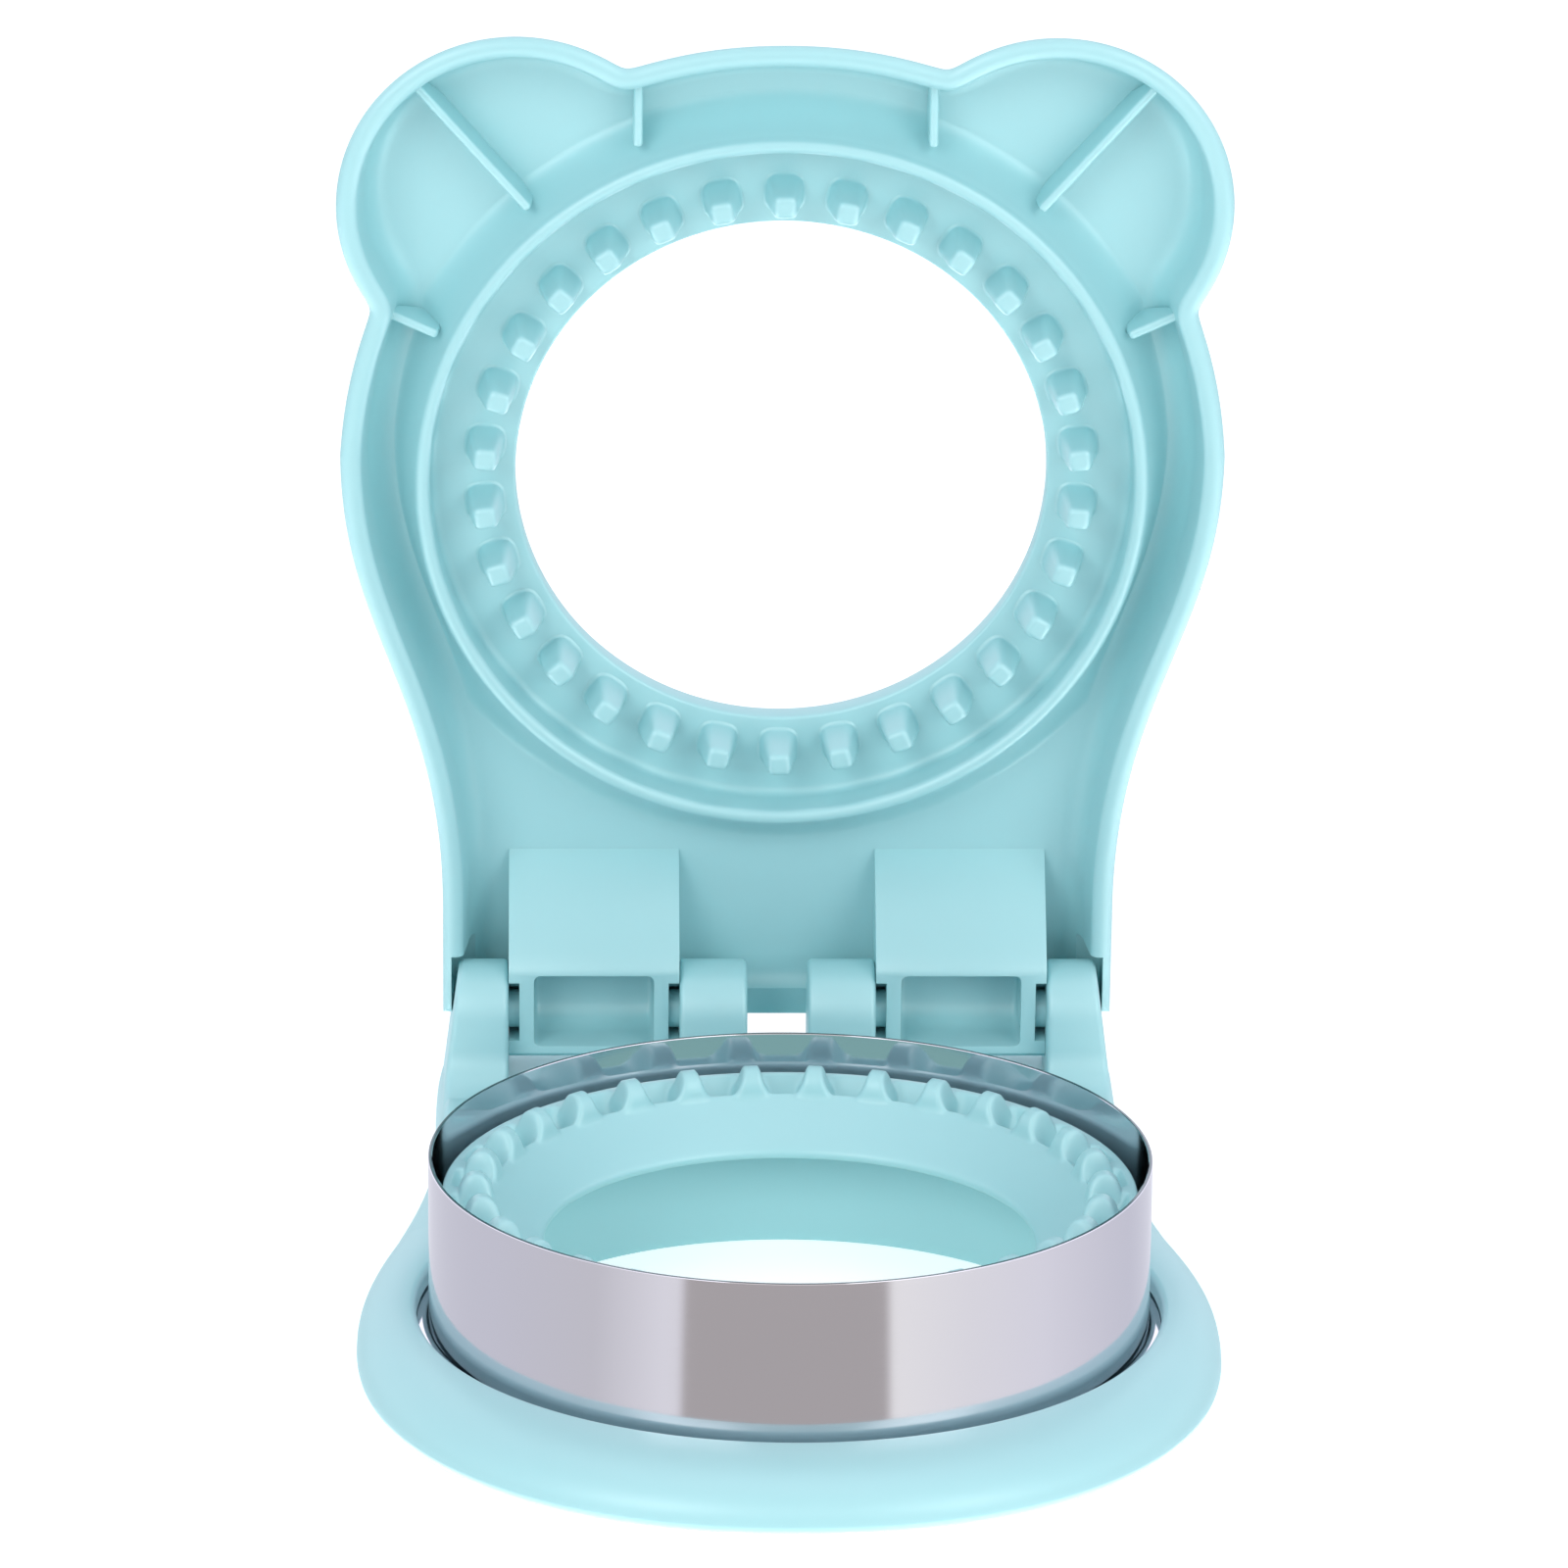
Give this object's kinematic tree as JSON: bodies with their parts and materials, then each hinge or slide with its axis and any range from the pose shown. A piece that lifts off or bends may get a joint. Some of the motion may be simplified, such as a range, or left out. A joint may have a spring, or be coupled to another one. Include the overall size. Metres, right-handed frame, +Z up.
{
  "type": "sandwich cutter and sealer",
  "caption": "Hinged tabletop cutter for round filled sandwiches: a steel cutting ring and toothed sealing ring on a low base, under a fold-down lid shaped like a bear's head.",
  "frame": {"origin": "middle of the object's box on the table, below the space between ring and hinge", "axes": "+X to the right, along the hinge; -Y towards the user, +Y towards the hinge; +Z up"},
  "size_m": [0.1144, 0.1442, 0.1547],
  "materials": {
    "aqua_plastic_base": "satin moulded",
    "aqua_plastic_crimp_ring": "satin moulded",
    "aqua_plastic_lid": "satin moulded",
    "polished_stainless_steel": "bright polished"
  },
  "bodies": {
    "base": {"base_shell": "aqua_plastic_base", "lower_crimp_ring": "aqua_plastic_crimp_ring", "cutter_ring": "polished_stainless_steel"},
    "lid": {"lid_shell": "aqua_plastic_lid"}
  },
  "joints": [
    {"name": "lid_hinge", "type": "hinge", "parent": "base", "child": "lid", "pos_m": [0, 0.06006, 0.0202], "axis": [1, 0, 0], "range_deg": [-15, 85]}
  ]
}
